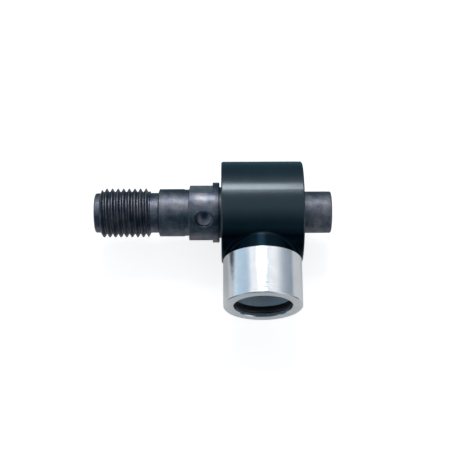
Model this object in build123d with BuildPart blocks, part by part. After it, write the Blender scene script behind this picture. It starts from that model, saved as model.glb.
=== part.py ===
from build123d import *
import math
import os

# Drill swivel adapter with a suction socket, for core drilling. Millimetres and degrees.
# The spindle turns about the x axis. Its machine end face is at x = 0 and its core bit end points to -x.
# The hose socket points to -y, and z is up.
# Front is the core bit side, rear is the machine side.

# Barrel and bearings
barrel_wall = 9.5
barrel_chamfer = 0.8
bearing_bore = 30.0
bearing_outer = 47.0
bearing_width = 9.0
bearing_depth = 3.5
bearing_chamfer = 0.5
ball_share = 0.56
ball_count = 14
shoulder_share = 0.667
race_clearance = 0.05
cage_thickness = 2.2
cage_back = 3.2
cage_front = 1.2
pocket_clearance = 0.1
bearing_seal_thickness = 0.8
bearing_seal_recess = 0.3
bearing_seal_seat = 0.5

# Retaining rings
housing_ring_thickness = 1.75
housing_ring_width = 4.0
housing_groove_depth = 1.25
shaft_ring_thickness = 1.5
shaft_ring_width = 3.4
shaft_groove_depth = 0.7
groove_clearance = 0.1
ring_taper = 0.8
ring_lug_radius = 1.9
ring_lug_hole_radius = 1.0
ring_lug_angle = 13.0

# Lip seals and air chamber
running_clearance = 0.05
shoulder_relief = 0.8
relief_wall = 2.0
lip_seal_height = 3.5
lip_seal_width = 4.0
lip_seal_case = 0.8
lip_thickness = 1.4
lip_edge = 0.6
seal_stop_width = 1.5
seal_stop_gap = 1.5
chamber_wall = 3.5
chamber_overlap = 1.0

# Hose socket
hose_bore = 37.0
socket_depth = 27.0
spigot_wall = 4.0
boss_margin = 3.5
boss_fillet = 1.5
sleeve_gap = 0.8
sleeve_wall = 2.45
sleeve_length = 31.4
sleeve_base_chamfer = 1.0
sleeve_mouth_chamfer = 0.4
sleeve_clearance = 0.05
mouth_lip = 2.1
hose_seal_width = 5.1
hose_seal_bulge = 0.1
hose_seal_round = 2.0
throat_radius = 15.0
o_ring_thickness = 1.8
o_ring_clearance = 0.02
o_ring_inset = 4.0
o_ring_groove_width = 2.5

# Spindle, outside
spindle_turn = 38.5
stub_step = 1.5
stub_length = 18.8
stub_chamfer = 1.0
collar_gap = 1.3
collar_radius = 19.5
collar_length = 19.4
collar_round = 0.5
flange_length = 4.3
flats_across = 31.2
bar_hole_radius = 5.1
bar_hole_inset = 9.6
bar_hole_floor = 1.9
neck_groove_width = 3.2
neck_groove_depth = 0.35
land_radius = 15.4
land_length = 20.0
land_chamfer = 0.9
relief_radius = 12.95
relief_length = 4.8
thread_radius = 15.875
thread_length = 32.6
thread_runout = 1.7
thread_lead_in = 1.2
nose_radius = 12.8
nose_length = 3.5
nose_chamfer = 0.7
spacer_wall = 1.5
journal_shoulder = 1.2

# Spindle, inside
suction_bore = 18.0
window_count = 4
window_width = 11.0
window_flat = 3.0
window_margin = 0.8
machine_bore = 18.632
machine_bore_depth = 20.0
bore_chamfer = 0.4
drill_point = 118.0

# Radii
journal_radius = bearing_bore / 2
seat_radius = bearing_outer / 2
barrel_radius = seat_radius + barrel_wall
ball_radius = ball_share * (seat_radius - journal_radius) / 2
pitch_radius = (journal_radius + seat_radius) / 2
inner_shoulder_radius = pitch_radius - shoulder_share * ball_radius
outer_shoulder_radius = pitch_radius + shoulder_share * ball_radius
lip_radius = journal_radius + running_clearance
lip_seal_radius = journal_radius + lip_seal_height
hose_radius = hose_bore / 2
boss_radius = hose_radius + spigot_wall
sleeve_bore_radius = boss_radius + sleeve_clearance
sleeve_radius = sleeve_bore_radius + sleeve_wall
stub_radius = journal_radius - stub_step

# Depths from either end face of the barrel, which is longer than the boss is wide
bearing_mid_depth = bearing_depth + bearing_width / 2
shoulder_depth = bearing_depth + bearing_width
lip_seal_depth = shoulder_depth + shoulder_relief
seal_stop_depth = lip_seal_depth + lip_seal_width
chamber_depth = seal_stop_depth + seal_stop_width
barrel_length = 2 * (boss_radius + boss_margin)
chamber_length = barrel_length - 2 * chamber_depth

# Places along the x axis
barrel_rear_x = -stub_length
barrel_front_x = barrel_rear_x - barrel_length
port_x = (barrel_front_x + barrel_rear_x) / 2
collar_rear_x = barrel_front_x - collar_gap
collar_front_x = collar_rear_x - collar_length
neck_groove_x = collar_front_x - neck_groove_width
land_front_x = collar_front_x - land_length
relief_front_x = land_front_x - relief_length
thread_front_x = relief_front_x - thread_length
nose_x = thread_front_x - nose_length
shaft_ring_x = barrel_rear_x - bearing_depth
shaft_groove_end_x = shaft_ring_x + shaft_ring_thickness + groove_clearance
journal_rear_x = shaft_groove_end_x + journal_shoulder

# Distances from the spindle axis towards the hose
throat_floor = seat_radius + chamber_wall
chamber_radius = throat_floor + chamber_overlap
sleeve_base = barrel_radius + sleeve_gap
mouth_distance = sleeve_base + sleeve_length
spigot_end = mouth_distance - mouth_lip - hose_seal_width
hose_stop = mouth_distance - socket_depth

# Each end of the barrel: its face, and the direction that leads inwards
barrel_ends = {"front": (barrel_front_x, 1), "rear": (barrel_rear_x, -1)}

axis_section = Plane.XZ
port_section = Plane(origin=(port_x, 0, 0), x_dir=(1, 0, 0), z_dir=(0, 0, -1))
port_axis = Axis((port_x, 0, 0), (0, -1, 0))


def outward(angle):
    """The direction away from the spindle axis, at an angle from +y towards +z."""
    return Vector(0, math.cos(math.radians(angle)), math.sin(math.radians(angle)))


def port_plane(distance):
    """The plane square to the hose socket, at a distance from the spindle axis."""
    return Plane(origin=(port_x, -distance, 0), x_dir=(1, 0, 0), z_dir=(0, -1, 0))


def spindle_plane(x):
    """The plane square to the spindle at x, with its own x direction out of a wrench flat."""
    return Plane(origin=(x, 0, 0), x_dir=outward(spindle_turn), z_dir=(1, 0, 0))


def radial_plane(x, angle, distance=0):
    """The plane that faces away from the spindle axis at an angle, at a distance from the axis."""
    out = outward(angle)
    return Plane(origin=Vector(x, 0, 0) + out * distance, x_dir=(1, 0, 0), z_dir=out)


def point_length(radius):
    """The length of the drill's point at the bottom of a hole."""
    return radius / math.tan(math.radians(drill_point / 2))


def cut_drilled_hole(mouth, radius, depth):
    """Cuts a blind hole with a drill point, inwards from the mouth plane."""
    top = (Align.CENTER, Align.CENTER, Align.MAX)
    with Locations(mouth):
        Cylinder(radius, depth, align=top, mode=Mode.SUBTRACT)
    with Locations(mouth.offset(-depth)):
        Cone(0, radius, point_length(radius), align=top, mode=Mode.SUBTRACT)


def save(part, name):
    """Labels a finished piece and writes it to its own file."""
    part.label = name
    export_step(part, f"parts/{name}.step")


os.makedirs("parts", exist_ok=True)

# Housing: barrel with the socket boss, bored for the bearings, the lip seals and the air chamber
with BuildPart() as housing:
    with BuildSketch(axis_section):
        with Locations((port_x, barrel_radius / 2)):
            Rectangle(barrel_length, barrel_radius)
    revolve(axis=Axis.X)
    chamfer(housing.edges().filter_by(GeomType.CIRCLE), barrel_chamfer)
    with BuildSketch(port_plane(0)):
        Circle(boss_radius)
    extrude(amount=spigot_end)
    saddle = housing.edges().filter_by(lambda edge: edge.geom_type not in (GeomType.CIRCLE, GeomType.LINE))
    fillet(saddle, boss_fillet)

    bore_steps = [
        (0, seat_radius + bearing_chamfer),
        (bearing_chamfer, seat_radius),
        (shoulder_depth, seat_radius),
        (shoulder_depth, seat_radius - relief_wall),
        (lip_seal_depth, seat_radius - relief_wall),
        (lip_seal_depth, lip_seal_radius),
        (seal_stop_depth, lip_seal_radius),
        (seal_stop_depth, journal_radius + seal_stop_gap),
        (chamber_depth, journal_radius + seal_stop_gap),
        (chamber_depth, chamber_radius),
    ]
    groove_width = housing_ring_thickness + groove_clearance
    groove_radius = seat_radius + housing_groove_depth
    with BuildSketch(axis_section):
        with BuildLine():
            front_steps = [(barrel_front_x + depth, radius) for depth, radius in bore_steps]
            rear_steps = [(barrel_rear_x - depth, radius) for depth, radius in reversed(bore_steps)]
            Polyline(front_steps + rear_steps + [(barrel_rear_x, 0), (barrel_front_x, 0)], close=True)
        make_face()
        for face_x, inward in barrel_ends.values():
            with Locations((face_x + inward * (bearing_depth - groove_width / 2), groove_radius / 2)):
                Rectangle(groove_width, groove_radius)
    revolve(axis=Axis.X, mode=Mode.SUBTRACT)

    with BuildSketch(port_plane(hose_stop)):
        Circle(hose_radius)
    extrude(amount=spigot_end - hose_stop, mode=Mode.SUBTRACT)
    with BuildSketch(port_plane(throat_floor)):
        Circle(throat_radius)
    extrude(amount=hose_stop - throat_floor, mode=Mode.SUBTRACT)
    groove_depth = o_ring_thickness + o_ring_clearance
    with BuildSketch(port_section):
        with Locations((boss_radius - groove_depth / 2, spigot_end - o_ring_inset)):
            Rectangle(groove_depth, o_ring_groove_width)
    revolve(axis=port_axis, mode=Mode.SUBTRACT)
save(housing.part, "housing")

# Hose sleeve: a turned tube over the spigot, with a lip that holds the rubber ring
with BuildPart() as hose_sleeve:
    base_relief = boss_fillet - sleeve_gap
    with BuildSketch(port_section):
        with BuildLine():
            Polyline(
                (sleeve_bore_radius, sleeve_base + base_relief),
                (sleeve_bore_radius + base_relief, sleeve_base),
                (sleeve_radius - sleeve_base_chamfer, sleeve_base),
                (sleeve_radius, sleeve_base + sleeve_base_chamfer),
                (sleeve_radius, mouth_distance - sleeve_mouth_chamfer),
                (sleeve_radius - sleeve_mouth_chamfer, mouth_distance),
                (hose_radius + sleeve_mouth_chamfer, mouth_distance),
                (hose_radius, mouth_distance - sleeve_mouth_chamfer),
                (hose_radius, mouth_distance - mouth_lip),
                (sleeve_bore_radius, mouth_distance - mouth_lip),
                close=True,
            )
        make_face()
    revolve(axis=port_axis)
save(hose_sleeve.part, "hose_sleeve")

# Rubber ring that grips the hose, held between the spigot's end and the sleeve's lip
with BuildPart() as hose_seal_ring:
    grip_radius = hose_radius - hose_seal_bulge
    with BuildSketch(port_section) as grip_section:
        with Locations(((grip_radius + boss_radius) / 2, spigot_end + hose_seal_width / 2)):
            Rectangle(boss_radius - grip_radius, hose_seal_width)
        fillet(grip_section.vertices().sort_by(Axis.X)[:2], hose_seal_round)
    revolve(axis=port_axis)
save(hose_seal_ring.part, "hose_seal_ring")

# O-ring in the spigot's groove, under the sleeve
with BuildPart() as sleeve_o_ring:
    with BuildSketch(port_section):
        with Locations((boss_radius - o_ring_thickness / 2, spigot_end - o_ring_inset)):
            Circle(o_ring_thickness / 2)
    revolve(axis=port_axis)
save(sleeve_o_ring.part, "sleeve_o_ring")

# Spindle: turned in one piece, with wrench flats, bar holes, a suction bore with windows and a machine bore
with BuildPart() as spindle:
    with BuildSketch(axis_section):
        with BuildLine():
            Polyline(
                (nose_x, 0),
                (nose_x, nose_radius - nose_chamfer),
                (nose_x + nose_chamfer, nose_radius),
                (thread_front_x, nose_radius),
                (thread_front_x + thread_lead_in, thread_radius),
                (relief_front_x - thread_runout, thread_radius),
                (relief_front_x, relief_radius),
                (land_front_x, relief_radius),
                (land_front_x + land_chamfer, land_radius),
                (neck_groove_x, land_radius),
                (neck_groove_x, land_radius - neck_groove_depth),
                (collar_front_x, land_radius - neck_groove_depth),
                (collar_front_x, collar_radius),
                (collar_rear_x, collar_radius),
                (collar_rear_x, journal_radius),
                (shaft_ring_x, journal_radius),
                (shaft_ring_x, journal_radius - shaft_groove_depth),
                (shaft_groove_end_x, journal_radius - shaft_groove_depth),
                (shaft_groove_end_x, journal_radius),
                (journal_rear_x, journal_radius),
                (journal_rear_x, stub_radius),
                (-stub_chamfer, stub_radius),
                (0, stub_radius - stub_chamfer),
                (0, 0),
                close=True,
            )
        make_face()
    revolve(axis=Axis.X)
    largest_circles = spindle.edges().filter_by(GeomType.CIRCLE).group_by(SortBy.RADIUS)[-1]
    fillet(largest_circles, collar_round)

    with BuildSketch(spindle_plane(collar_front_x)):
        with Locations((-flats_across / 2 - collar_radius / 2, 0), (flats_across / 2 + collar_radius / 2, 0)):
            Rectangle(collar_radius, 2 * collar_radius)
    extrude(amount=collar_length - flange_length, mode=Mode.SUBTRACT)

    bar_hole_x = collar_front_x + bar_hole_inset
    bar_hole_depth = collar_radius - suction_bore / 2 - bar_hole_floor - point_length(bar_hole_radius)
    for angle in (spindle_turn + 90, spindle_turn - 90):
        cut_drilled_hole(radial_plane(bar_hole_x, angle, collar_radius), bar_hole_radius, bar_hole_depth)

    window_length = chamber_length - 2 * window_margin
    window_corner = (min(window_length, window_width) - window_flat) / 2
    suction_depth = port_x + window_length / 2 - nose_x
    nose_plane = Plane(origin=(nose_x, 0, 0), x_dir=(0, 1, 0), z_dir=(-1, 0, 0))
    cut_drilled_hole(nose_plane, suction_bore / 2, suction_depth)
    cut_drilled_hole(Plane.YZ, machine_bore / 2, machine_bore_depth)
    for end_face in (spindle.faces().sort_by(Axis.X)[0], spindle.faces().sort_by(Axis.X)[-1]):
        chamfer(end_face.inner_wires()[0].edges(), bore_chamfer)

    for window in range(window_count):
        angle = spindle_turn + 45 + window * 360 / window_count
        with BuildSketch(radial_plane(port_x, angle)):
            RectangleRounded(window_length, window_width, window_corner)
        extrude(amount=journal_radius + running_clearance, mode=Mode.SUBTRACT)
save(spindle.part, "spindle")

# Spacer between the collar and the front bearing
with BuildPart() as front_spacer:
    spacer_length = collar_gap + bearing_depth
    with BuildSketch(axis_section):
        with Locations((collar_rear_x + spacer_length / 2, journal_radius + spacer_wall / 2)):
            Rectangle(spacer_length, spacer_wall)
    revolve(axis=Axis.X)
save(front_spacer.part, "front_spacer")

# Retaining ring on the spindle behind the rear bearing
with BuildPart() as shaft_retaining_ring:
    ring_inner = journal_radius - shaft_groove_depth
    lug_distance = journal_radius + ring_lug_radius
    lug_side = lug_distance * math.sin(math.radians(ring_lug_angle))
    lug_height = lug_distance * math.cos(math.radians(ring_lug_angle))
    with BuildSketch(spindle_plane(shaft_ring_x)):
        with Locations((0, -ring_taper)):
            Circle(ring_inner + shaft_ring_width - ring_taper)
        Circle(ring_inner, mode=Mode.SUBTRACT)
        with Locations((0, lug_distance)):
            Rectangle(2 * lug_side - ring_lug_radius, 2 * shaft_ring_width, mode=Mode.SUBTRACT)
        with Locations((-lug_side, lug_height), (lug_side, lug_height)):
            Circle(ring_lug_radius)
            Circle(ring_lug_hole_radius, mode=Mode.SUBTRACT)
    extrude(amount=shaft_ring_thickness)
save(shaft_retaining_ring.part, "shaft_retaining_ring")

for end, (face_x, inward) in barrel_ends.items():
    bearing_x = face_x + inward * bearing_mid_depth

    # Bearing rings, each with its ball track, and with seal grooves in the outer one
    with BuildPart() as inner_ring:
        with BuildSketch(axis_section) as ring_section:
            with Locations((bearing_x, (journal_radius + inner_shoulder_radius) / 2)):
                Rectangle(bearing_width, inner_shoulder_radius - journal_radius)
            chamfer(ring_section.vertices().group_by(Axis.Y)[0], bearing_chamfer)
            with Locations((bearing_x, pitch_radius)):
                Circle(ball_radius + race_clearance, mode=Mode.SUBTRACT)
        revolve(axis=Axis.X)
    save(inner_ring.part, f"{end}_bearing_inner_ring")

    seal_middle = bearing_width / 2 - bearing_seal_recess - bearing_seal_thickness / 2
    seal_outer = outer_shoulder_radius + bearing_seal_seat
    seal_inner = inner_shoulder_radius + running_clearance
    with BuildPart() as outer_ring:
        with BuildSketch(axis_section) as ring_section:
            with Locations((bearing_x, (outer_shoulder_radius + seat_radius) / 2)):
                Rectangle(bearing_width, seat_radius - outer_shoulder_radius)
            chamfer(ring_section.vertices().group_by(Axis.Y)[-1], bearing_chamfer)
            with Locations((bearing_x, pitch_radius)):
                Circle(ball_radius + race_clearance, mode=Mode.SUBTRACT)
            with Locations((bearing_x - seal_middle, seal_outer / 2), (bearing_x + seal_middle, seal_outer / 2)):
                Rectangle(bearing_seal_thickness, seal_outer, mode=Mode.SUBTRACT)
        revolve(axis=Axis.X)
    save(outer_ring.part, f"{end}_bearing_outer_ring")

    # Rubber shields on both sides of the bearing
    with BuildPart() as bearing_seals:
        with BuildSketch(axis_section):
            seal_height = (seal_inner + seal_outer) / 2
            with Locations((bearing_x - seal_middle, seal_height), (bearing_x + seal_middle, seal_height)):
                Rectangle(bearing_seal_thickness, seal_outer - seal_inner)
        revolve(axis=Axis.X)
    save(bearing_seals.part, f"{end}_bearing_seals")

    # Balls, and the crown cage that they snap into
    with BuildPart() as balls:
        with Locations(Plane.YZ.offset(bearing_x)):
            with PolarLocations(pitch_radius, ball_count):
                Sphere(ball_radius)
    save(balls.part, f"{end}_balls")

    with BuildPart() as cage:
        with BuildSketch(axis_section):
            with Locations((bearing_x + inward * (cage_front - cage_back) / 2, pitch_radius)):
                Rectangle(cage_front + cage_back, cage_thickness)
        revolve(axis=Axis.X)
        with Locations(Plane.YZ.offset(bearing_x)):
            with PolarLocations(pitch_radius, ball_count):
                pocket_radius = ball_radius + pocket_clearance
                Cylinder(pocket_radius, 2 * cage_thickness, rotation=(0, 90, 0), mode=Mode.SUBTRACT)
    save(cage.part, f"{end}_cage")

    # Retaining ring that keeps the bearing in the barrel
    with BuildPart() as retaining_ring:
        ring_outer = seat_radius + housing_groove_depth
        lug_distance = seat_radius - ring_lug_radius
        lug_side = lug_distance * math.sin(math.radians(ring_lug_angle))
        lug_height = lug_distance * math.cos(math.radians(ring_lug_angle))
        with BuildSketch(Plane.YZ.offset(face_x + inward * bearing_depth)):
            Circle(ring_outer)
            with Locations((0, ring_taper)):
                Circle(ring_outer - housing_ring_width + ring_taper, mode=Mode.SUBTRACT)
            with Locations((0, ring_outer)):
                Rectangle(2 * lug_side - ring_lug_radius, 2 * housing_ring_width, mode=Mode.SUBTRACT)
            with Locations((-lug_side, lug_height), (lug_side, lug_height)):
                Circle(ring_lug_radius)
                Circle(ring_lug_hole_radius, mode=Mode.SUBTRACT)
        extrude(amount=-inward * housing_ring_thickness)
    save(retaining_ring.part, f"{end}_retaining_ring")

    # Lip seal between the bearing and the air chamber
    lip_top = lip_radius + lip_thickness
    with BuildPart() as lip_seal:
        section = [
            (0, lip_seal_radius),
            (lip_seal_width, lip_seal_radius),
            (lip_seal_width, lip_seal_radius - lip_seal_case),
            (lip_seal_case, lip_seal_radius - lip_seal_case),
            (lip_seal_case, lip_top),
            (lip_seal_width - lip_edge, lip_top),
            (lip_seal_width - lip_edge, lip_top - lip_edge),
            (lip_seal_width - 2 * lip_edge, lip_radius),
            (lip_seal_case, lip_radius + lip_edge),
            (0, lip_radius + lip_edge),
        ]
        with BuildSketch(axis_section):
            with BuildLine():
                seal_x = face_x + inward * lip_seal_depth
                Polyline([(seal_x + inward * depth, radius) for depth, radius in section], close=True)
            make_face()
        revolve(axis=Axis.X)
    save(lip_seal.part, f"{end}_lip_seal")
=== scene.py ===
import math
import bmesh
import bpy
from mathutils import Matrix, Vector


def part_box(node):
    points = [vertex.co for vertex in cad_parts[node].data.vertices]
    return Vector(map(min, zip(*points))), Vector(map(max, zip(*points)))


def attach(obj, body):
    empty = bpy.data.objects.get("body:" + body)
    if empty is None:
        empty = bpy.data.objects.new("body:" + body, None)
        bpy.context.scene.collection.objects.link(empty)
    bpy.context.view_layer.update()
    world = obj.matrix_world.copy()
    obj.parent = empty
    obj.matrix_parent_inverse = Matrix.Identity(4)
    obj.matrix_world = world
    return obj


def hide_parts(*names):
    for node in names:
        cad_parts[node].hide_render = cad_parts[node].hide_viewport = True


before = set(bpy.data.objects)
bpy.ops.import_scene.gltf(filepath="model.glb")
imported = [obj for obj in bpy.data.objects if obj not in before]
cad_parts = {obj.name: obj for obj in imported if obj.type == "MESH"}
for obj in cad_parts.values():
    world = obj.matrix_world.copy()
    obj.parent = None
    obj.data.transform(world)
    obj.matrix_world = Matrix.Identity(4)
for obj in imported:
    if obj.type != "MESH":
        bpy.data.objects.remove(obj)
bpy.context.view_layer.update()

# Spindle. One bar of steel, turned, screw-cut, milled and drilled, then blackened in hot oxide and oiled.
# The core bit goes on the coarse thread, and the drill's own thread goes into the plain end.
# Dust is sucked in through the bore and leaves by four windows inside the housing.
mm = 0.001
around = 144
spindle_turn = 38.5
nose_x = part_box("spindle")[0].x / mm
machine_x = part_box("spindle")[1].x / mm
barrel_front_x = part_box("housing")[0].x / mm
barrel_rear_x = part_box("housing")[1].x / mm

thread_radius, thread_pitch, thread_depth = 15.875, 25.4 / 7, 2.2
thread_length, thread_lead_in, thread_runout, thread_flank_angle = 32.6, 1.2, 1.7, 30
nose_radius, nose_length, nose_chamfer = 12.8, 3.5, 0.7
relief_radius, relief_length = 12.95, 4.8
land_radius, land_chamfer = 15.4, 0.9
neck_groove_width, neck_groove_depth = 3.2, 0.35
collar_radius, collar_length, collar_round, collar_gap = 19.5, 19.4, 0.5, 1.3
flange_length, half_flats = 4.3, 15.6
journal_radius, journal_shoulder = 15.0, 1.2
stub_radius, stub_chamfer = 13.5, 1.0
ring_groove_inset, ring_groove_width, ring_groove_depth = 3.5, 1.6, 0.7
bar_hole_radius, bar_hole_rim, bar_hole_depth, bar_hole_inset = 5.1, 0.8, 5.54, 9.6
suction_radius, bore_chamfer, drill_point = 9.0, 0.4, 118.0
window_count, window_turn = 4, 45
window_width, window_length, window_corner = 11.0, 12.8, 4.0
drill_thread_radius, drill_thread_pitch, drill_thread_depth = 10.478, 25.4 / 14, 1.162
drill_thread_length, drill_thread_start, drill_thread_flank_angle = 17.0, 1.5, 27.5
machine_bore_depth, overcut = 20.0, 2.0

thread_front_x = nose_x + nose_length
relief_front_x = thread_front_x + thread_length
land_front_x = relief_front_x + relief_length
collar_rear_x = barrel_front_x - collar_gap
collar_front_x = collar_rear_x - collar_length
neck_groove_x = collar_front_x - neck_groove_width
ring_groove_x = barrel_rear_x - ring_groove_inset
journal_rear_x = ring_groove_x + ring_groove_width + journal_shoulder
port_x = (barrel_front_x + barrel_rear_x) / 2
point_slope = 1 / math.tan(math.radians(drill_point / 2))


class Field:
    """A socket of a node tree. Arithmetic on it adds the Math node that works the result out."""

    def __init__(self, tree, socket):
        self.tree = tree
        self.socket = socket

    def __add__(self, other):
        return self.tree.math("ADD", self, other)

    def __sub__(self, other):
        return self.tree.math("SUBTRACT", self, other)

    def __rsub__(self, other):
        return self.tree.math("SUBTRACT", other, self)

    def __mul__(self, other):
        return self.tree.math("MULTIPLY", self, other)

    def __truediv__(self, other):
        return self.tree.math("DIVIDE", self, other)

    __radd__ = __add__
    __rmul__ = __mul__


class Tree:
    """A node tree, to which nodes are added by their type, settings and values."""

    def __init__(self, tree):
        self.tree = tree

    def node(self, kind, settings=None, values=None, out=0):
        node = self.tree.nodes.new(kind)
        for name, value in (settings or {}).items():
            if name == "stops":
                self.set_stops(node.color_ramp.elements, value)
            else:
                setattr(node, name, value)
        for name, value in (values or {}).items():
            self.feed(node.inputs[name], value)
        return Field(self, node.outputs[out])

    def feed(self, socket, value):
        if isinstance(value, Field):
            self.tree.links.new(value.socket, socket)
        else:
            socket.default_value = value

    def set_stops(self, elements, stops):
        for element, (place, colour) in zip((elements[0], elements[1]), (stops[0], stops[-1])):
            element.position = place
            element.color = (*colour, 1)
        for place, colour in stops[1:-1]:
            elements.new(place).color = (*colour, 1)

    def math(self, operation, *terms):
        return self.node("ShaderNodeMath", {"operation": operation}, dict(enumerate(terms)))

    def clamped(self, value):
        return self.node("ShaderNodeClamp", {}, {"Value": value})

    def ramp(self, factor, *stops):
        return self.node("ShaderNodeValToRGB", {"stops": stops}, {"Fac": factor})

    def mix(self, factor, first, second):
        node = self.tree.nodes.new("ShaderNodeMix")
        node.data_type = "RGBA"
        values = {"Factor": factor, "A": first, "B": second}
        for socket in node.inputs:
            if socket.enabled and socket.name in values:
                value = values[socket.name]
                self.feed(socket, (*value, 1) if isinstance(value, tuple) else value)
        return Field(self, next(socket for socket in node.outputs if socket.enabled))

    def least(self, first, *others):
        for other in others:
            first = self.math("MINIMUM", first, other)
        return first

    def most(self, first, *others):
        for other in others:
            first = self.math("MAXIMUM", first, other)
        return first


class Shape(Tree):
    """A Geometry Nodes tree that makes a mesh out of named sizes."""

    def __init__(self, name, sizes):
        super().__init__(bpy.data.node_groups.new(name, "GeometryNodeTree"))
        self.tree.interface.new_socket(name="Geometry", in_out="OUTPUT", socket_type="NodeSocketGeometry")
        for size, value in sizes.items():
            kind = "NodeSocketInt" if isinstance(value, int) else "NodeSocketFloat"
            self.tree.interface.new_socket(name=size, in_out="INPUT", socket_type=kind).default_value = value
        entry = self.tree.nodes.new("NodeGroupInput")
        self.size = {size: Field(self, entry.outputs[size]) for size in sizes}

    def finish(self, geometry, material):
        real = self.node("GeometryNodeRealizeInstances", {}, {"Geometry": geometry})
        done = self.node("GeometryNodeSetMaterial", {}, {"Geometry": real, "Material": material})
        self.feed(self.tree.nodes.new("NodeGroupOutput").inputs[0], done)

    def mesh(self, name, sizes):
        """Runs the tree once with these sizes and gives back its plain mesh."""
        carrier = bpy.data.objects.new(name, bpy.data.meshes.new(name))
        bpy.context.scene.collection.objects.link(carrier)
        modifier = carrier.modifiers.new(name, "NODES")
        modifier.node_group = self.tree
        for item in self.tree.interface.items_tree:
            if item.in_out == "INPUT" and item.name in sizes:
                modifier[item.identifier] = sizes[item.name]
        evaluated = carrier.evaluated_get(bpy.context.evaluated_depsgraph_get())
        mesh = bpy.data.meshes.new_from_object(evaluated)
        bpy.data.objects.remove(carrier)
        return mesh


class Finish(Tree):
    """A material, with constants on the shader's sockets and fields that vary over the surface."""

    def __init__(self, name, **constants):
        self.material = bpy.data.materials.new(name)
        self.material.use_nodes = True
        super().__init__(self.material.node_tree)
        self.shader = self.tree.nodes["Principled BSDF"]
        for socket, value in constants.items():
            self.shader.inputs[socket.replace("_", " ").title().replace("Ior", "IOR")].default_value = value
        self.place = self.node("ShaderNodeTexCoord", {}, {}, "Object")

    def axes(self):
        """The three object coordinates, in metres."""
        split = self.node("ShaderNodeSeparateXYZ", {}, {"Vector": self.place})
        return [Field(self, socket) for socket in split.socket.node.outputs]

    def length(self, a, b):
        return self.math("SQRT", a * a + b * b)

    def noise(self, scale, detail=2, roughness=0.5):
        values = {"Vector": self.place, "Scale": scale, "Detail": detail, "Roughness": roughness}
        return self.node("ShaderNodeTexNoise", {}, values)

    def marks(self, along, scale, detail=2):
        """Noise along one direction alone, such as the marks of a turning tool."""
        values = {"W": along, "Scale": scale, "Detail": detail}
        return self.node("ShaderNodeTexNoise", {"noise_dimensions": "1D"}, values)

    def band(self, value, low, high):
        """0 below low, 1 above high, and a straight ramp between them."""
        return self.clamped((value - low) / (high - low))

    def bump(self, height, distance, strength=1.0):
        values = {"Height": height, "Distance": distance, "Strength": strength}
        return self.node("ShaderNodeBump", {}, values)

    def cover(self, **fields):
        for socket, value in fields.items():
            self.feed(self.shader.inputs[socket.replace("_", " ").title()], value)
        return self.material


def blackened_steel():
    """Oiled black oxide: blue-grey with browner patches, fine turning marks and rubbed places."""
    steel = Finish("blackened_steel", metallic=1.0)
    x, y, z = steel.axes()
    patches = steel.noise(150, 5, 0.62)
    speckle = steel.noise(1300, 3, 0.6)
    tool_marks = steel.marks(x + steel.length(y, z), 2600, 3)
    oxide = steel.ramp(patches * 0.75 + speckle * 0.25, (0.38, (0.075, 0.09, 0.12)),
                       (0.5, (0.125, 0.132, 0.16)), (0.62, (0.2, 0.19, 0.2)))
    rubbed = steel.band(speckle * 0.5 + tool_marks * 0.5, 0.55, 0.7)
    colour = steel.mix(rubbed * 0.4, oxide, (0.3, 0.31, 0.34))
    on_collar = steel.band(x, collar_front_x * mm, (collar_front_x + collar_round) * mm)
    off_collar = steel.band(x, (collar_rear_x - collar_round) * mm, collar_rear_x * mm)
    roughness = 0.33 + patches * 0.14 + tool_marks * 0.08 - (on_collar - off_collar) * 0.1
    relief = steel.bump(tool_marks * 0.6 + speckle * 0.4, 0.03 * mm, 0.6)
    return steel.cover(base_color=colour, roughness=roughness, normal=relief)


def screw_thread(material):
    """The tree of a right-hand thread about the x axis: a grid along the helix, cut by a cone at each end."""
    crest_softness = 0.12
    weld_distance = 0.002 * mm
    thread = Shape("screw_thread", {
        "Crest Radius": 0.01, "Depth": 0.001, "Pitch": 0.002, "Crest Share": 0.125, "Flank": 1.732,
        "Front": 0.0, "Length": 0.01, "Start Angle": math.pi, "Front Radius": 0.008, "Front Slope": 1.0,
        "Back Radius": 0.008, "Back Slope": 1.0, "Mouth Radius": 0.0,
        "Turns": 5, "Stations": 81, "Columns": 145,
    })
    size = thread.size
    grid = thread.node("GeometryNodeMeshGrid", {}, {
        "Size X": 1.0, "Size Y": 1.0, "Vertices X": size["Stations"], "Vertices Y": size["Columns"]})
    place = thread.node("GeometryNodeInputPosition")
    across = thread.node("ShaderNodeSeparateXYZ", {}, {"Vector": place}, "X") + 0.5
    turned = thread.node("ShaderNodeSeparateXYZ", {}, {"Vector": place}, "Y") + 0.5
    turn = across * size["Turns"]
    from_crest = thread.math("ABSOLUTE", thread.math("FRACT", turn) - 0.5) * size["Pitch"]
    flank = size["Crest Radius"] - (from_crest - size["Pitch"] * size["Crest Share"] / 2) * size["Flank"]
    rounding = size["Depth"] * crest_softness
    capped = thread.math("SMOOTH_MIN", flank, size["Crest Radius"], rounding)
    profile = thread.math("SMOOTH_MAX", size["Crest Radius"] - size["Depth"], capped, rounding)
    along = thread.most(thread.least((turn + turned - 1) * size["Pitch"], size["Length"]), 0)
    to_end = size["Length"] - along
    front_cone = size["Front Radius"] + along * size["Front Slope"]
    back_cone = size["Back Radius"] + to_end * size["Back Slope"]
    radius = thread.most(thread.least(profile, front_cone, back_cone), size["Mouth Radius"] - to_end)
    angle = turned * math.tau + size["Start Angle"]
    around_axis = thread.node("ShaderNodeCombineXYZ", {}, {
        "X": size["Front"] + along, "Y": radius * thread.math("COSINE", angle),
        "Z": radius * thread.math("SINE", angle)})
    bent = thread.node("GeometryNodeSetPosition", {}, {"Geometry": grid, "Position": around_axis})
    welded = thread.node("GeometryNodeMergeByDistance", {}, {"Geometry": bent, "Distance": weld_distance})
    thread.finish(welded, material)
    return thread


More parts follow.
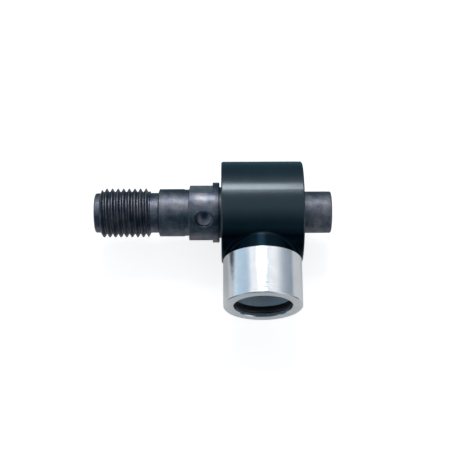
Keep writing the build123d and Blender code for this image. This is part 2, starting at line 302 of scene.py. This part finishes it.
def thread_sizes(stations_per_turn, flank_angle, slopes, lengths):
    """The inputs of the thread tree, from a flank angle, the cones' slopes and lengths in millimetres."""
    turns = math.ceil(lengths["Length"] / lengths["Pitch"]) + 1
    return {
        **{name: value * mm for name, value in lengths.items()}, **slopes,
        "Flank": 1 / math.tan(math.radians(flank_angle)),
        "Turns": turns, "Stations": turns * stations_per_turn + 1, "Columns": around + 1,
    }


def outward(angle):
    """The direction away from the spindle axis, at an angle from +y towards +z."""
    return Vector((0, math.cos(math.radians(angle)), math.sin(math.radians(angle))))


def stand(first, second, third, place=(0, 0, 0)):
    """The placing that lays the x, y and z axes along three directions, at a place in millimetres."""
    return Matrix.Translation(Vector(place) * mm) @ Matrix((first, second, third)).transposed().to_4x4()


def add_lathe(mesh, outline, matrix=Matrix()):
    """Turns an outline of (x, radius) points, in millimetres, about the x axis and adds it to a mesh."""
    rings = []
    for x, radius in outline:
        count = 1 if radius == 0 else around
        angles = [math.tau * step / around for step in range(count)]
        points = [Vector((x, radius * math.cos(a), radius * math.sin(a))) * mm for a in angles]
        rings.append([mesh.verts.new(matrix @ point) for point in points])
    for ring, following in zip(rings, rings[1:]):
        for step in range(around):
            after = (step + 1) % around
            corners = [ring[step % len(ring)], ring[after % len(ring)],
                       following[after % len(following)], following[step % len(following)]]
            mesh.faces.new(list(dict.fromkeys(corners)))


def arc(x, radius, size, start, end, points=4):
    """The points of a round edge in an outline, about the centre (x, radius)."""
    angles = [math.radians(start + (end - start) * step / (points - 1)) for step in range(points)]
    return [(x + size * math.cos(a), radius + size * math.sin(a)) for a in angles]


def piece_of(mesh, name, material, weld_distance=0.003 * mm, sharp=32):
    """A finished object out of a bmesh: welded, with its faces outwards and its edges kept crisp."""
    bmesh.ops.remove_doubles(mesh, verts=mesh.verts, dist=weld_distance)
    bmesh.ops.recalc_face_normals(mesh, faces=mesh.faces)
    data = bpy.data.meshes.new(name)
    mesh.to_mesh(data)
    mesh.free()
    data.shade_smooth()
    data.set_sharp_from_angle(angle=math.radians(sharp))
    data.materials.clear()
    data.materials.append(material)
    piece = bpy.data.objects.new(name, data)
    bpy.context.scene.collection.objects.link(piece)
    return piece


def cut(piece, cutter):
    """Cuts the cutter out of the piece, and throws it away."""
    modifier = piece.modifiers.new("cut", "BOOLEAN")
    modifier.object = cutter
    modifier.operation = "DIFFERENCE"
    modifier.solver = "EXACT"
    evaluated = piece.evaluated_get(bpy.context.evaluated_depsgraph_get())
    mesh = bmesh.new()
    mesh.from_mesh(bpy.data.meshes.new_from_object(evaluated))
    name, material = piece.name, piece.data.materials[0]
    bpy.data.objects.remove(cutter)
    bpy.data.objects.remove(piece)
    return piece_of(mesh, name, material)


def add_wrench_flat(mesh, angle):
    """A block over one wrench flat, which stops short of the collar's flange."""
    out = outward(angle)
    matrix = stand((1, 0, 0), out, out.cross(Vector((1, 0, 0))), (collar_front_x, 0, 0))
    for corner in bmesh.ops.create_cube(mesh, size=1)["verts"]:
        x = collar_length - flange_length if corner.co.x > 0 else -overcut / 2
        distance = collar_radius + overcut if corner.co.y > 0 else half_flats
        corner.co = matrix @ (Vector((x, distance, corner.co.z * 2 * (collar_radius + overcut))) * mm)


def add_bar_hole(mesh, angle):
    """A drill for one bar hole, with a countersink that breaks the hole's rim."""
    out = outward(angle)
    matrix = stand(out, (1, 0, 0), out.cross(Vector((1, 0, 0))), (collar_front_x + bar_hole_inset, 0, 0))
    floor_distance = collar_radius - bar_hole_depth
    add_lathe(mesh, [
        (floor_distance - bar_hole_radius * point_slope, 0),
        (floor_distance, bar_hole_radius),
        (collar_radius - bar_hole_rim, bar_hole_radius),
        (collar_radius, bar_hole_radius + bar_hole_rim),
        (collar_radius + overcut, bar_hole_radius + bar_hole_rim),
        (collar_radius + overcut, 0),
    ], matrix)


def add_window(mesh, angle):
    """A rounded block through the wall into the suction bore."""
    out = outward(angle)
    matrix = stand((1, 0, 0), out.cross(Vector((1, 0, 0))), out, (port_x, 0, 0))
    straight_x = window_length / 2 - window_corner
    straight_y = window_width / 2 - window_corner
    border = []
    for start, way_x, way_y in ((0, 1, 1), (90, -1, 1), (180, -1, -1), (270, 1, -1)):
        border += arc(way_x * straight_x, way_y * straight_y, window_corner, start, start + 90, 9)
    low, high = ([mesh.verts.new(matrix @ (Vector((x, y, z)) * mm)) for x, y in border]
                 for z in (suction_radius / 2, journal_radius + overcut))
    mesh.faces.new(low)
    mesh.faces.new(high)
    for step in range(len(border)):
        after = (step + 1) % len(border)
        mesh.faces.new((low[step], low[after], high[after], high[step]))


oxide_finish = blackened_steel()
thread_tree = screw_thread(oxide_finish)
suction_end = port_x + window_length / 2
drill_thread_root = drill_thread_radius - drill_thread_depth
body = bmesh.new()
add_lathe(body, [
    (suction_end + suction_radius * point_slope, 0),
    (suction_end, suction_radius),
    (nose_x + bore_chamfer, suction_radius),
    (nose_x, suction_radius + bore_chamfer),
    (nose_x, nose_radius - nose_chamfer),
    (nose_x + nose_chamfer, nose_radius),
    (thread_front_x, nose_radius),
])
add_lathe(body, [
    (relief_front_x, relief_radius),
    (land_front_x, relief_radius),
    (land_front_x + land_chamfer, land_radius),
    (neck_groove_x, land_radius),
    (neck_groove_x, land_radius - neck_groove_depth),
    (collar_front_x, land_radius - neck_groove_depth),
    *arc(collar_front_x + collar_round, collar_radius - collar_round, collar_round, 180, 90),
    *arc(collar_rear_x - collar_round, collar_radius - collar_round, collar_round, 90, 0),
    (collar_rear_x, journal_radius),
    (ring_groove_x, journal_radius),
    (ring_groove_x, journal_radius - ring_groove_depth),
    (ring_groove_x + ring_groove_width, journal_radius - ring_groove_depth),
    (ring_groove_x + ring_groove_width, journal_radius),
    (journal_rear_x, journal_radius),
    (journal_rear_x, stub_radius),
    *arc(machine_x - stub_chamfer, stub_radius - stub_chamfer, stub_chamfer, 90, 0, 7),
    (machine_x, drill_thread_radius + bore_chamfer),
])
add_lathe(body, [
    (machine_x - drill_thread_length, drill_thread_root),
    (machine_x - machine_bore_depth, drill_thread_root),
    (machine_x - machine_bore_depth - drill_thread_root * point_slope, 0),
])
body.from_mesh(thread_tree.mesh("core_bit_thread", thread_sizes(
    stations_per_turn=16,
    flank_angle=thread_flank_angle,
    slopes={
        "Front Slope": (thread_radius - nose_radius) / thread_lead_in,
        "Back Slope": (thread_radius - relief_radius) / thread_runout,
    },
    lengths={
        "Crest Radius": thread_radius, "Depth": thread_depth, "Pitch": thread_pitch,
        "Front": thread_front_x, "Length": thread_length,
        "Front Radius": nose_radius, "Back Radius": relief_radius,
    })))
body.from_mesh(thread_tree.mesh("drill_thread", thread_sizes(
    stations_per_turn=10,
    flank_angle=drill_thread_flank_angle,
    slopes={"Front Slope": drill_thread_depth / drill_thread_start},
    lengths={
        "Crest Radius": drill_thread_radius, "Depth": drill_thread_depth, "Pitch": drill_thread_pitch,
        "Front": machine_x - drill_thread_length, "Length": drill_thread_length,
        "Front Radius": drill_thread_root, "Back Radius": drill_thread_radius,
        "Mouth Radius": drill_thread_radius + bore_chamfer,
    })))
spindle = piece_of(body, "turned_spindle", oxide_finish)

cutters = bmesh.new()
for half_turn in (0, 180):
    add_wrench_flat(cutters, spindle_turn + half_turn)
    add_bar_hole(cutters, spindle_turn + 90 + half_turn)
for window in range(window_count):
    add_window(cutters, spindle_turn + window_turn + window * 360 / window_count)
spindle = cut(spindle, piece_of(cutters, "spindle_cutters", oxide_finish))
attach(spindle, "spindle")
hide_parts("spindle")

# Front spacer. A short blackened tube that keeps the spindle's collar clear of the housing.
# It is clamped between the collar and the inner ring of the front bearing.
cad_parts["front_spacer"].material_slots[0].material = oxide_finish

# Ball bearings, 30 x 47 x 9. Hardened and ground steel rings with a row of balls in a moulded crown cage.
# A rubber shield closes each side, so that the grease stays in and the dust stays out.


def ground_steel():
    """Ground and polished bearing steel, with a faint bluish film of oil."""
    steel = Finish("ground_bearing_steel", metallic=1.0)
    x, y, z = steel.axes()
    grinding = steel.marks(x + steel.length(y, z), 5200, 2)
    film = steel.noise(160, 3)
    colour = steel.ramp(film, (0.35, (0.5, 0.51, 0.53)), (0.65, (0.62, 0.61, 0.6)))
    relief = steel.bump(grinding, 0.008 * mm, 0.5)
    return steel.cover(base_color=colour, roughness=0.1 + grinding * 0.12 + film * 0.06, normal=relief)


def cage_polyamide():
    """Glass-filled polyamide, a dull cream with pale fibre specks."""
    plastic = Finish("cage_polyamide", specular_ior_level=0.45)
    fibres = plastic.noise(2400, 4, 0.7)
    colour = plastic.ramp(fibres, (0.3, (0.45, 0.39, 0.28)), (0.7, (0.62, 0.57, 0.45)))
    relief = plastic.bump(fibres, 0.02 * mm, 0.5)
    return plastic.cover(base_color=colour, roughness=0.42 + fibres * 0.2, normal=relief)


def black_rubber():
    """Moulded nitrile rubber, nearly black, with a fine grain and a little bloom."""
    rubber = Finish("nitrile_rubber", specular_ior_level=0.4)
    grain = rubber.noise(3200, 3, 0.6)
    bloom = rubber.noise(140, 4, 0.6)
    colour = rubber.ramp(bloom * 0.8 + grain * 0.2, (0.3, (0.004, 0.006, 0.008)), (0.7, (0.014, 0.017, 0.02)))
    relief = rubber.bump(grain, 0.02 * mm, 0.6)
    return rubber.cover(base_color=colour, roughness=0.24 + bloom * 0.2, normal=relief)


bearing_finish = ground_steel()
cage_finish = cage_polyamide()
rubber_finish = black_rubber()
for end in ("front", "rear"):
    for part in ("bearing_outer_ring", "bearing_inner_ring", "balls"):
        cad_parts[f"{end}_{part}"].material_slots[0].material = bearing_finish
    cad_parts[f"{end}_cage"].material_slots[0].material = cage_finish
    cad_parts[f"{end}_bearing_seals"].material_slots[0].material = rubber_finish

# Lip seals, 30 x 37 x 4. Moulded rubber rings between each bearing and the air chamber.
# Their lips run on the spindle and keep the drilling dust away from the bearings.
for end in ("front", "rear"):
    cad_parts[f"{end}_lip_seal"].material_slots[0].material = rubber_finish

# Housing. A barrel with a side boss, turned out of one piece of aluminium and anodised black.
# The bearings sit in it from both ends, and the air chamber lies between them.


bare_bore_radius, bare_bore_edge = 18.8, 0.2
# boss_start and boss_end bound, in millimetres along y, the band near the boss that is given painted shade.
bare_bore_start, bare_bore_end, boss_start, boss_end = -30.0, -32.0, -22.0, -26.0


def black_anodising():
    """Satin blue-black anodising over fine turning marks; near the boss it turns metallic, a painted shade
    that darkens its reflections. The port's bore is bare.
    """
    coat = Finish("black_anodising", specular_ior_level=0.7, specular_tint=(0.8, 0.93, 1.0, 1))
    x, y, z = coat.axes()
    tool_marks = coat.marks(x, 3000, 3)
    cloud = coat.noise(60, 4, 0.55)
    colour = coat.ramp(cloud, (0.35, (0.001, 0.006, 0.011)), (0.65, (0.002, 0.010, 0.017)))
    from_port = coat.length(x - port_x * mm, z)
    in_bore = coat.band(from_port, (bare_bore_radius + bare_bore_edge) * mm, bare_bore_radius * mm)
    bare = in_bore * coat.band(y, bare_bore_start * mm, bare_bore_end * mm)
    # Painted shade: near the boss the coat is made metallic, so its near-black colour reflects hardly any
    # light and the boss looks darker.
    boss_painted_shade = coat.band(y, boss_start * mm, boss_end * mm)
    relief = coat.bump(tool_marks, 0.01 * mm, 0.5)
    return coat.cover(base_color=coat.mix(bare, colour, (0.84, 0.9, 0.95)),
                      metallic=bare + boss_painted_shade * (1 - bare) * 0.95,
                      roughness=0.17 + cloud * 0.08 + tool_marks * 0.05 + bare * 0.3, normal=relief)


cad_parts["housing"].material_slots[0].material = black_anodising()

# Retaining rings. Stamped out of spring steel and phosphated, with two holes for the pliers.
# Two hold the bearings in the barrel, and one holds the spindle behind the rear bearing.


def phosphated_steel():
    """Spring steel with a dull grey-black phosphate coat."""
    steel = Finish("phosphated_spring_steel", metallic=0.85)
    crystals = steel.noise(2000, 4, 0.7)
    colour = steel.ramp(crystals, (0.35, (0.06, 0.058, 0.055)), (0.65, (0.16, 0.155, 0.15)))
    relief = steel.bump(crystals, 0.01 * mm, 0.6)
    return steel.cover(base_color=colour, roughness=0.4 + crystals * 0.2, normal=relief)


ring_finish = phosphated_steel()
for ring in ("front_retaining_ring", "rear_retaining_ring", "shaft_retaining_ring"):
    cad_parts[ring].material_slots[0].material = ring_finish

# Hose sleeve. A bright aluminium tube, turned and left bare, screwed over the housing's spigot.
# An O-ring seals it, and its lip holds the rubber ring that grips the vacuum hose.


def bright_aluminium():
    """Turned aluminium: fine rings round the sleeve, faint handling marks and a cool tint."""
    metal = Finish("turned_aluminium", metallic=1.0)
    x, y, z = metal.axes()
    radius = metal.length(x - port_x * mm, z)
    tool_marks = metal.marks(y + radius, 2900, 3)
    handling = metal.noise(120, 4, 0.6)
    shade = handling * 0.5 + tool_marks * 0.5
    colour = metal.ramp(shade, (0.35, (0.7, 0.73, 0.76)), (0.65, (0.82, 0.84, 0.86)))
    relief = metal.bump(tool_marks, 0.045 * mm, 0.8)
    return metal.cover(base_color=colour, roughness=0.11 + handling * 0.06 + tool_marks * 0.05, normal=relief)


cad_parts["hose_sleeve"].material_slots[0].material = bright_aluminium()
for ring in ("hose_seal_ring", "sleeve_o_ring"):
    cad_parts[ring].material_slots[0].material = rubber_finish

# Studio. A pale table in a pale room, with a soft light above and behind the part and a faint one on
# either side. Dark cards before and behind it and light ones beside it show in polished surfaces only.
table_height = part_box("housing")[0].z
card_height = 0.62
light_distance = 0.9
aim = Vector((port_x - 20.5, -10.3, -4.8)) * mm
left_wall, blue_wall, back_wall = (0.6, 0.76, 0.9), (0.52, 0.66, 0.8), (0.5, 0.66, 0.76)
white_wall, soft_wall, pale_wall = (1.0, 1.0, 1.0), (0.86, 0.89, 0.95), (0.68, 0.73, 0.82)
grey_wall, dark_wall = (0.49, 0.54, 0.61), (0.34, 0.39, 0.45)


def path_kinds(tree):
    """Whether a ray comes from the camera, and whether a polished or clear surface sent it."""
    seen, mirrored, passed = (tree.node("ShaderNodeLightPath", {}, {}, f"Is {kind} Ray")
                              for kind in ("Camera", "Glossy", "Transmission"))
    return seen, tree.clamped(mirrored + passed)


def studio_room():
    """White where it is looked at. Polished surfaces see its walls, and the rest gets their dimmer light."""
    world = bpy.data.worlds.new("studio_room")
    world.use_nodes = True
    bpy.context.scene.world = world
    room = Tree(world.node_tree)
    seen, mirrored = path_kinds(room)
    direction = room.node("ShaderNodeTexCoord", {}, {}, "Generated")
    across = room.node("ShaderNodeSeparateXYZ", {}, {"Vector": direction}, "X")
    walls = room.ramp(across * 0.5 + 0.5, (0.03, left_wall), (0.12, blue_wall), (0.19, blue_wall),
                      (0.235, white_wall), (0.32, soft_wall), (0.4, white_wall), (0.43, back_wall),
                      (0.56, back_wall), (0.61, white_wall), (0.67, soft_wall), (0.73, white_wall),
                      (0.79, white_wall), (0.85, pale_wall), (0.9, grey_wall), (0.95, dark_wall))
    background = world.node_tree.nodes["Background"]
    room.feed(background.inputs["Color"], room.mix(seen, walls, (1, 1, 1)))
    room.feed(background.inputs["Strength"], 0.5 + seen * 0.5 + mirrored * 0.5)


def pale_table():
    """A matt top that keeps the part's shadow and is lifted to white where it is looked at."""
    top = Finish("pale_table", base_color=(0.6, 0.6, 0.6, 1), roughness=0.9, specular_ior_level=0.1,
                 emission_strength=1.0)
    seen, mirrored = path_kinds(top)
    glow = top.ramp(seen + mirrored * 0.35, (0.0, (0, 0, 0)), (1.0, (0.78, 0.78, 0.78)))
    return top.cover(emission_color=glow)


def card_finish(name, *colours):
    """A black card that glows: in one colour, or in colours at stops from the table up to its top."""
    finish = Finish(name, base_color=(0, 0, 0, 1), roughness=1.0, specular_ior_level=0.0,
                    emission_strength=1.0)
    if len(colours) == 1:
        finish.shader.inputs["Emission Color"].default_value = (*colours[0], 1)
        return finish.material
    height = finish.band(finish.axes()[2], table_height, card_height)
    return finish.cover(emission_color=finish.ramp(height, *colours))


def sheet(name, corners, material):
    """A flat piece of the stage."""
    data = bpy.data.meshes.new(name)
    data.from_pydata(corners, [], [range(len(corners))])
    data.materials.append(material)
    piece = bpy.data.objects.new(name, data)
    bpy.context.scene.collection.objects.link(piece)
    return piece


def card(name, low_edge, high_edge, material):
    """A sheet between two edges, each from one point to another, that only polished surfaces see."""
    piece = sheet(name, [*low_edge, *reversed(high_edge)], material)
    piece.visible_camera = False
    piece.visible_diffuse = False
    piece.visible_transmission = False
    piece.visible_shadow = False


def across_view(y, z):
    """A card's edge that runs across the view, at a depth and a height."""
    return (card_left, y, z), (card_right, y, z)


def upright(start, end, foot, top):
    """The foot and the top of a card that stands between two points of the table."""
    return ((*start, foot), (*end, foot)), ((*start, top), (*end, top))


def soft_light(name, direction, width, height, radiance):
    """An area light that faces the part from a direction, with the same radiance whatever its size."""
    lamp = bpy.data.lights.new(name, "AREA")
    lamp.shape = "RECTANGLE"
    lamp.size = width
    lamp.size_y = height
    lamp.energy = radiance * math.pi * width * height
    light = bpy.data.objects.new(name, lamp)
    bpy.context.scene.collection.objects.link(light)
    direction = Vector(direction).normalized()
    light.location = aim + direction * light_distance
    light.rotation_euler = direction.to_track_quat("Z", "Y").to_euler()


studio_room()
table_reach = 2
sheet("table", [(-table_reach, -table_reach, table_height), (table_reach, -table_reach, table_height),
                (table_reach, table_reach, table_height), (-table_reach, table_reach, table_height)],
      pale_table())

card_left, card_right, card_near, card_far = -0.36, 0.12, -0.55, 0.6
card_foot, low_card_height, lowest_card_height = table_height + mm, 0.36, 0.1
dark = (0.025, 0.09, 0.13)
card("front_card", across_view(card_near, card_foot), across_view(-0.13, card_height),
     card_finish("front_card", (0.04, (0.3, 0.38, 0.44)), (0.17, dark), (0.54, dark),
                 (0.94, (0.5, 0.68, 0.78))))
card("front_floor_card", across_view(card_near, card_foot), across_view(-0.1, card_foot),
     card_finish("front_floor_card", dark))
back_finish = card_finish("back_card", (0.05, (0.1, 0.2, 0.26)), (0.6, (0.25, 0.4, 0.5)))
card("back_card", across_view(card_far, card_foot), across_view(card_far, low_card_height), back_finish)
card("back_floor_card", across_view(0.06, card_foot), across_view(card_far, card_foot), back_finish)
card("right_card", *upright((0.62, 0.16), (0.5, 0.42), card_foot, low_card_height),
     card_finish("right_card", (0.0, (0.26, 0.32, 0.37)), (0.6, (0.45, 0.52, 0.58))))
card("left_card", *upright((-0.74, 0.16), (-0.66, 0.42), card_foot, lowest_card_height),
     card_finish("left_card", (0.75, 0.9, 1.0)))

soft_light("main_softbox", (-0.03, 0.525, 0.85), width=0.3, height=0.24, radiance=11)
soft_light("left_strip", (-0.51, 0.42, 0.75), width=0.1, height=0.5, radiance=0.3)
soft_light("right_strip", (0.45, 0.42, 0.79), width=0.08, height=0.5, radiance=0.3)

# Camera. A long lens on a stand looks down on the part from the hose's side, as in the photograph.
# Everything from the front of the part to its back is in focus.
camera_offset = Vector((-0.0012, -0.2811, 0.6083))
camera_data = bpy.data.cameras.new("camera")
camera_data.lens = 80.7
camera_data.sensor_width = 36
camera = bpy.data.objects.new("camera", camera_data)
bpy.context.scene.collection.objects.link(camera)
camera.location = aim + camera_offset
camera.rotation_euler = (camera.location - aim).to_track_quat("Z", "Y").to_euler()
bpy.context.scene.camera = camera
bpy.context.scene.view_settings.view_transform = "Standard"
